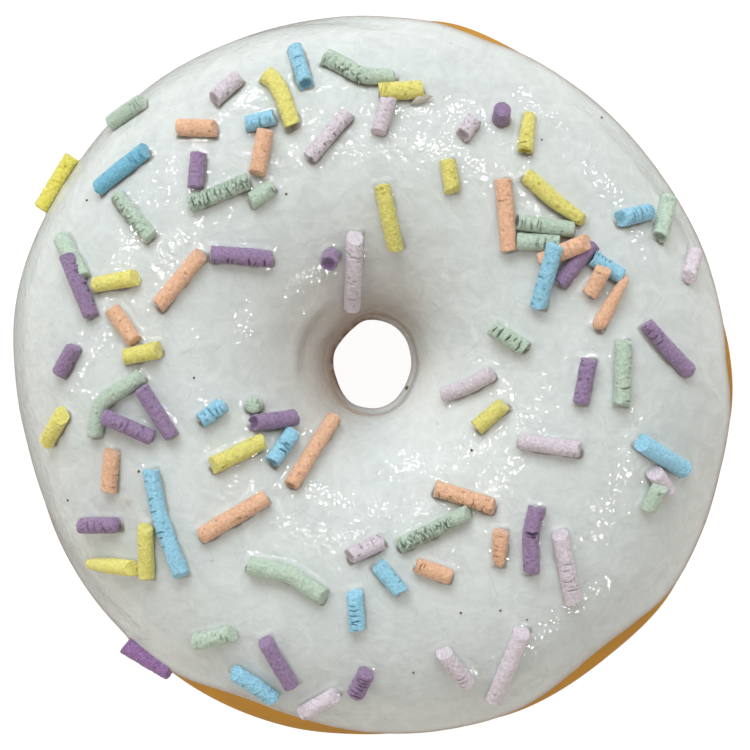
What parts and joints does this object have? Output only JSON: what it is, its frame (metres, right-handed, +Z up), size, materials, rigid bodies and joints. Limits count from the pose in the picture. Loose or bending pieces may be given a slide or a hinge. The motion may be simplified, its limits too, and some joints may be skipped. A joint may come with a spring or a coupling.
{
  "type": "sprinkle frosted doughnut ornament",
  "caption": "Solid copy of a ring doughnut with pale glossy icing that leaves patches of the golden body bare, and pastel strand sprinkles sunk in its top.",
  "frame": {"origin": "centre of the outline's box, on the flat ring it rests on", "axes": "+Z up through the hole, +Y towards the back, +X right"},
  "size_m": [0.1, 0.0995, 0.0375],
  "materials": {
    "dough": "smooth satin golden brown, matte where it turns under",
    "icing": "high gloss, slightly translucent, finely crackled; the strands on it are matte pastel clay"
  },
  "bodies": {
    "root": {"dough": "dough", "icing": "icing"}
  },
  "joints": []
}
